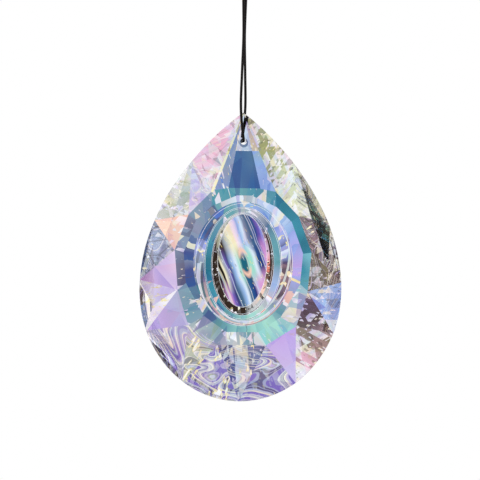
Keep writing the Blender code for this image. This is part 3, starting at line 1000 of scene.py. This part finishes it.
def painted_glints(tree, base, vector, share):
    """Small golden glints, painted highlights, more of them where their share is high."""
    drawn = add(tree, "Mapping", Vector=vector, Rotation=GLINT_LEAN, Scale=GLINT_STRETCH).outputs["Vector"]
    noise = add(tree, "TexNoise", Vector=drawn, Scale=GLINT_SCALE, Detail=2.0, Roughness=FINE_ROUGHNESS)
    cluster = add(tree, "TexNoise", Vector=vector, Scale=CLUSTER_SCALE, Detail=0.0)
    crowd = spread(tree, cluster.outputs["Fac"], *CLUSTER_RANGE, *CLUSTER_SHARES)
    here = maths(tree, "MULTIPLY", share, crowd)
    level = maths(tree, "SUBTRACT", GLINT_FROM, maths(tree, "MULTIPLY", here, GLINT_SPREAD))
    rise = maths(tree, "MULTIPLY", maths(tree, "SUBTRACT", noise.outputs["Fac"], level), GLINT_SOFTNESS)
    above = maths(tree, "GREATER_THAN", rise, 0.0)
    seen = maths(tree, "MULTIPLY", above, maths(tree, "GREATER_THAN", share, LEAST_GLINTS))
    return blend(tree, seen, base, ramp(tree, rise, GLINT_TINTS))


def painted_edge_shade(tree, base, vector, share):
    """Thin dark lines of painted shade, standing for the far edges of the facets on the other side seen
    through the glass.
    """
    cells = add(
        tree, "TexVoronoi", {"voronoi_dimensions": "2D", "feature": "DISTANCE_TO_EDGE"},
        Vector=vector, Scale=EDGE_SHADE_SCALE,
    )
    width = maths(tree, "MULTIPLY", share, EDGE_SHADE_WIDTH)
    seen = maths(tree, "LESS_THAN", cells.outputs["Distance"], width)
    return blend(tree, maths(tree, "MULTIPLY", seen, EDGE_SHADE_DEPTH), base, SHADE)


def facet_glass(name, ior=GLASS_IOR, glare=GLARE):
    """A facet's glass: clouds of its two tints, painted broken reflections, painted swirls, painted shade in
    dark lines along the far edges, and painted golden glints.
    """
    material, tree, colour = glass(name, ior, glare)
    base = attribute(tree, "coat", "Color")
    accent = attribute(tree, "accent", "Color")
    busy, dark, streaky = channels(tree, attribute(tree, "shares", "Color"))
    glint_share = attribute(tree, "shares", "Alpha")
    grain = attribute(tree, "grain", "Vector")
    cloud = add(tree, "TexNoise", Vector=grain, Scale=CLOUD_SCALE, Detail=1.0)
    base = blend(tree, spread(tree, cloud.outputs["Fac"], *CLOUD_RANGE, high=CLOUD_SHARE), base, accent)
    base = painted_reflections(tree, base, accent, mosaic(tree, grain, PIECE_SCALE), (busy, dark), PIECE_STRENGTH)
    base = painted_reflections(tree, base, accent, mosaic(tree, grain, SHARD_SCALE), (busy, dark), SHARD_STRENGTH)
    some = maths(tree, "MULTIPLY", busy, CHIP_SHARE)
    base = painted_reflections(tree, base, accent, chips(tree, grain), (some, dark), CHIP_STRENGTH)
    drawn = add(tree, "Mapping", Vector=grain, Scale=SWIRL_STRETCH).outputs["Vector"]
    base = painted_swirls(tree, base, accent, drawn, streaky, dark)
    base = painted_edge_shade(tree, base, grain, maths(tree, "MAXIMUM", maths(tree, "SUBTRACT", dark, EDGE_SHADE_FROM), 0.0))
    base = painted_glints(tree, base, grain, glint_share)
    feed(tree, colour, base)
    return material


def turn_share(tree, axes):
    """How far round the oval cut a place is: 0 at the right, a quarter at the top."""
    return maths(tree, "FRACT", maths(tree, "MULTIPLY", axes.outputs["Y"], 1 / ROUND_LENGTH))


def shifted(tree, turn, cells, amount):
    """A turn moved on by a pattern's random value, so that neighbouring colours break into one another."""
    pick = channels(tree, cells)[0]
    push = maths(tree, "MULTIPLY", maths(tree, "SUBTRACT", pick, 0.5), amount)
    return maths(tree, "FRACT", maths(tree, "ADD", maths(tree, "ADD", turn, push), 1.0))


def table_glass():
    """The flat table round the oval cut, in broad plain pieces, with painted reflections and painted golden
    glints.
    """
    material, tree, colour = glass("coated_table")
    grain = attribute(tree, "grain", "Vector")
    turn = turn_share(tree, add(tree, "SeparateXYZ", Vector=grain))
    pieces = mosaic(tree, grain, TABLE_SCALE)
    turn = shifted(tree, turn, pieces, TABLE_SHIFT)
    base = ramp(tree, turn, TABLE_BAND)
    accents = ramp(tree, turn, OUTER_ACCENTS)
    base = painted_reflections(tree, base, accents, mosaic(tree, grain, SHARD_SCALE), TABLE_SHARES, CHIP_STRENGTH)
    feed(tree, colour, painted_glints(tree, base, grain, TABLE_GLINTS))
    return material


def ring_glass():
    """The cut's two bands: blue and lilac broken by painted reflections and thin painted arcs, with painted
    golden glints, then a plainer teal one.
    """
    material, tree, colour = glass("coated_rings")
    grain = attribute(tree, "grain", "Vector")
    axes = add(tree, "SeparateXYZ", Vector=grain)
    turn = turn_share(tree, axes)
    chipped = warped(tree, grain, WARP_SCALE, WARP)
    cells = mosaic(tree, chipped, SHARD_SCALE)
    outer = ramp(tree, shifted(tree, turn, mosaic(tree, grain, PIECE_SCALE), RING_SHIFT), OUTER_BAND)
    inner = ramp(tree, turn, INNER_BAND)
    accents = ramp(tree, turn, OUTER_ACCENTS)
    outer = painted_reflections(tree, outer, accents, cells, OUTER_SHARES, SHARD_STRENGTH)
    arcs = lines(tree, chipped, ARC_LEAN, ARC_SCALE)
    outer = painted_reflections(tree, outer, accents, arcs, ARC_SHARES, SHARD_STRENGTH)
    outer = painted_glints(tree, outer, grain, OUTER_GLINTS)
    inner = painted_reflections(tree, inner, accents, cells, INNER_SHARES)
    inner = painted_glints(tree, inner, grain, INNER_GLINTS)
    is_inner = maths(tree, "GREATER_THAN", axes.outputs["X"], INNER_FROM)
    feed(tree, colour, blend(tree, is_inner, outer, inner))
    return material


def groove_glass():
    """The groove round the lens: painted shade, nearly black, with painted golden glints, paler above and at
    the lower right.
    """
    material, tree, colour = glass("dark_groove", LENS_IOR)
    grain = attribute(tree, "grain", "Vector")
    axes = add(tree, "SeparateXYZ", Vector=grain)
    turn = turn_share(tree, axes)
    is_inner = maths(tree, "GREATER_THAN", axes.outputs["X"], INNER_GROOVE_FROM)
    base = blend(tree, is_inner, ramp(tree, turn, GROOVE_BAND), ramp(tree, turn, GROOVE_INNER_BAND))
    base = painted_reflections(tree, base, coat("bark"), chips(tree, grain), GROOVE_SHARES)
    base = painted_glints(tree, base, grain, GROOVE_GLINTS)
    feed(tree, colour, base)
    return material


def lens_glass():
    """The lens: painted refraction in soft streaks that lean across it, other ones at its top, middle and
    foot, with painted highlights, painted shade and painted golden glints among them.
    """
    material, tree, colour = glass("streaked_lens", LENS_IOR)
    grain = attribute(tree, "grain", "Vector")
    bent = warped(tree, grain, STREAK_WARP_SCALE, STREAK_WARP)
    axes = add(tree, "SeparateXYZ", Vector=bent)
    across = spread(tree, axes.outputs["X"], -STREAKS_REACH, STREAKS_REACH)
    top, middle, foot = (ramp(tree, across, stops) for stops in LENS_STREAKS)
    up = spread(tree, axes.outputs["Y"], *TOP_STREAKS, kind="SMOOTHSTEP")
    down = spread(tree, axes.outputs["Y"], *FOOT_STREAKS, kind="SMOOTHSTEP")
    base = blend(tree, down, blend(tree, up, middle, top), foot)
    fine = lines(tree, bent, LENS_LINE_LEAN, ARC_SCALE)
    base = painted_reflections(tree, base, coat("ice"), fine, LENS_LINE_SHARES, LENS_LINE_STRENGTH)
    base = blend(tree, core_edge(tree, axes), base, coat("peach"))
    base = painted_reflections(tree, base, coat("gold"), chips(tree, grain), GOLD_CHIP_SHARES)
    deep = add(tree, "Gamma", Color=base, Gamma=LENS_DEPTH).outputs["Color"]
    feed(tree, colour, deep)
    return material


def core_edge(tree, axes):
    """How much a place lies on the ends of the long oval round the lens's core."""
    offsets = [
        maths(tree, "SUBTRACT", axes.outputs[axis], middle)
        for axis, middle in zip("XY", CORE_PLACE)
    ]
    squares = [
        maths(tree, "POWER", maths(tree, "ABSOLUTE", maths(tree, "DIVIDE", offset, half)), 2.0)
        for offset, half in zip(offsets, CORE_HALF_SIZE)
    ]
    radius = maths(tree, "SQRT", maths(tree, "ADD", *squares))
    off_edge = maths(tree, "ABSOLUTE", maths(tree, "SUBTRACT", radius, 1.0))
    on_edge = spread(tree, off_edge, 0.0, CORE_EDGE, 1.0, 0.0)
    at_end = spread(tree, maths(tree, "ABSOLUTE", offsets[1]), *CORE_ENDS)
    return maths(tree, "MULTIPLY", on_edge, at_end)


def cut_crystal(planes):
    """The ground blank with the oval cut and the hole taken out of it, as a mesh with its materials."""
    blank = ground_blank(planes)
    cutters = [lens_cutter(), hole_cutter()]
    materials = [
        facet_glass("coated_facets"),
        table_glass(),
        ring_glass(),
        groove_glass(),
        lens_glass(),
        facet_glass("coated_tip", LENS_IOR),
        facet_glass("coated_soft_facets", SOFT_IOR, SOFT_GLARE),
    ]
    for solid in [blank, *cutters]:
        for material in materials:
            solid.data.materials.append(material)
    for cutter in cutters:
        cut_with(blank, cutter)
    bpy.context.view_layer.update()
    evaluated = blank.evaluated_get(bpy.context.evaluated_depsgraph_get())
    mesh = bpy.data.meshes.new_from_object(evaluated)
    for scrap in [blank, *cutters]:
        bpy.data.objects.remove(scrap, do_unlink=True)
    return mesh


def is_golden(edge, planes):
    """Whether an edge lies between the two facets of the golden edge."""
    return {nearest_plane(face, planes)[0] for face in edge.link_faces} == GOLD_EDGE


def bevel_edges(bm, edges, width):
    bmesh.ops.bevel(bm, geom=edges, offset=width, segments=1, affect="EDGES")
    bm.normal_update()


def finish_edges(bm, planes):
    """The golden edge, the fine bevels, and the level line where the deep blue ends below the tip."""
    bm.normal_update()
    bevel_edges(bm, [edge for edge in bm.edges if is_golden(edge, planes)], GOLD_BEVEL)
    bevel_edges(bm, [edge for edge in bm.edges if needs_bevel(edge)], EDGE_BEVEL)
    everything = [*bm.verts, *bm.edges, *bm.faces]
    bmesh.ops.bisect_plane(bm, geom=everything, plane_co=(0.0, 0.0, BLUE_TOP), plane_no=(0.0, 0.0, 1.0))
    bmesh.ops.remove_doubles(bm, verts=bm.verts, dist=SLIVER)
    bmesh.ops.dissolve_degenerate(bm, edges=bm.edges, dist=SLIVER)
    bm.normal_update()


def facet_slot(face):
    """The material slot of a ground face, by its place."""
    middle = face.calc_center_median()
    if middle.z > BLUE_TOP:
        return TIP
    return SOFT_FACETS if middle.x < 0.0 or middle.z < SOFT_BELOW else FACETS


def coat_faces(bm, planes):
    """Each face's material, and at its corners the tints, the grain and the shares that its shader reads."""
    coats = bm.loops.layers.float_color.new("coat")
    accents = bm.loops.layers.float_color.new("accent")
    grains = bm.loops.layers.float_vector.new("grain")
    all_shares = bm.loops.layers.float_color.new("shares")
    for face in bm.faces:
        face.smooth = face.material_index in SMOOTH_SLOTS
        finish, outline_tint = CLEAR_FINISH, None
        if at_table(face):
            face.material_index = TABLE
        if face.material_index in (TABLE, RINGS, GROOVE):
            grain = ring_grain(face)
        elif face.material_index == LENS:
            grain = lens_grain(face)
        else:
            finish, grain = facet_grain(face, planes)
            outline_tint = OUTLINE_TINTS.get(nearest_plane(face, planes)[0])
            face.material_index = facet_slot(face)
        tint, accent, *shares = finish
        padded = [*shares, 0.0, 0.0, 0.0, 0.0][:4]
        for loop, place in zip(face.loops, grain):
            loop[coats] = faded(tint, outline_tint or tint, loop.vert.co.y)
            loop[accents] = coat(accent)
            loop[grains] = place
            loop[all_shares] = padded


def make_crystal():
    planes = all_planes()
    mesh = cut_crystal(planes)
    bm = bmesh.new()
    bm.from_mesh(mesh)
    finish_edges(bm, planes)
    coat_faces(bm, planes)
    bm.to_mesh(mesh)
    bm.free()
    crystal = link_object("crystal", mesh)
    crystal.location = (0.0, 0.0, WIDEST_LEVEL)
    mesh.set_sharp_from_angle(angle=SHARP_FROM)
    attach(crystal, "root")
    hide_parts("crystal_drop")


def make_world():
    """White studio; through the glass it also shows softboxes and dark flags at the sides."""
    world = bpy.data.worlds.new("studio")
    world.use_nodes = True
    bpy.context.scene.world = world
    tree = world.node_tree
    place = add(tree, "TexCoord").outputs["Generated"]
    axes = add(tree, "SeparateXYZ", Vector=place)
    flags = add(tree, "TexVoronoi", {"distance": "CHEBYCHEV"}, Vector=place, Scale=FLAG_SCALE)
    pick = channels(tree, flags.outputs["Color"])[0]
    lights = colours(tree, pick, STUDIO_LIGHTS, "CONSTANT")
    leftward = spread(tree, axes.outputs["X"], *LEFT_RANGE, high=LEFT_SHARE)
    sides = blend(tree, leftward, lights, LEFT_LIGHT)
    facing = spread(tree, maths(tree, "ABSOLUTE", axes.outputs["Y"]), WHITE_FROM, WHITE_TO)
    with_back = blend(tree, facing, sides, BACK_LIGHT)
    frontward = spread(tree, axes.outputs["Y"], -WHITE_FROM, -WHITE_TO)
    through_glass = blend(tree, frontward, with_back, FRONT_LIGHT)
    path = add(tree, "LightPath")
    plain = maths(tree, "MAXIMUM", path.outputs["Is Camera Ray"], path.outputs["Is Diffuse Ray"])
    background = tree.nodes["Background"]
    background.inputs["Strength"].default_value = 1.0
    feed(tree, background.inputs["Color"], blend(tree, plain, through_glass, PAPER_LIGHT))


def make_floor():
    bm = bmesh.new()
    bmesh.ops.create_circle(bm, cap_ends=True, segments=FLOOR_SIDES, radius=FLOOR_RADIUS)
    floor = mesh_object("floor", bm)
    floor.location = (0.0, 0.0, FLOOR_LEVEL)
    material, shader = new_shader("pale_floor")
    shader.inputs["Base Color"].default_value = FLOOR_COLOUR
    shader.inputs["Roughness"].default_value = FLOOR_ROUGHNESS
    floor.data.materials.append(material)


scene = bpy.context.scene
scene.view_settings.view_transform = "Standard"
scene.cycles.max_bounces = LIGHT_BOUNCES
scene.cycles.transmission_bounces = LIGHT_BOUNCES
scene.cycles.glossy_bounces = LIGHT_BOUNCES
make_camera()
make_cord()
make_crystal()
make_world()
make_floor()
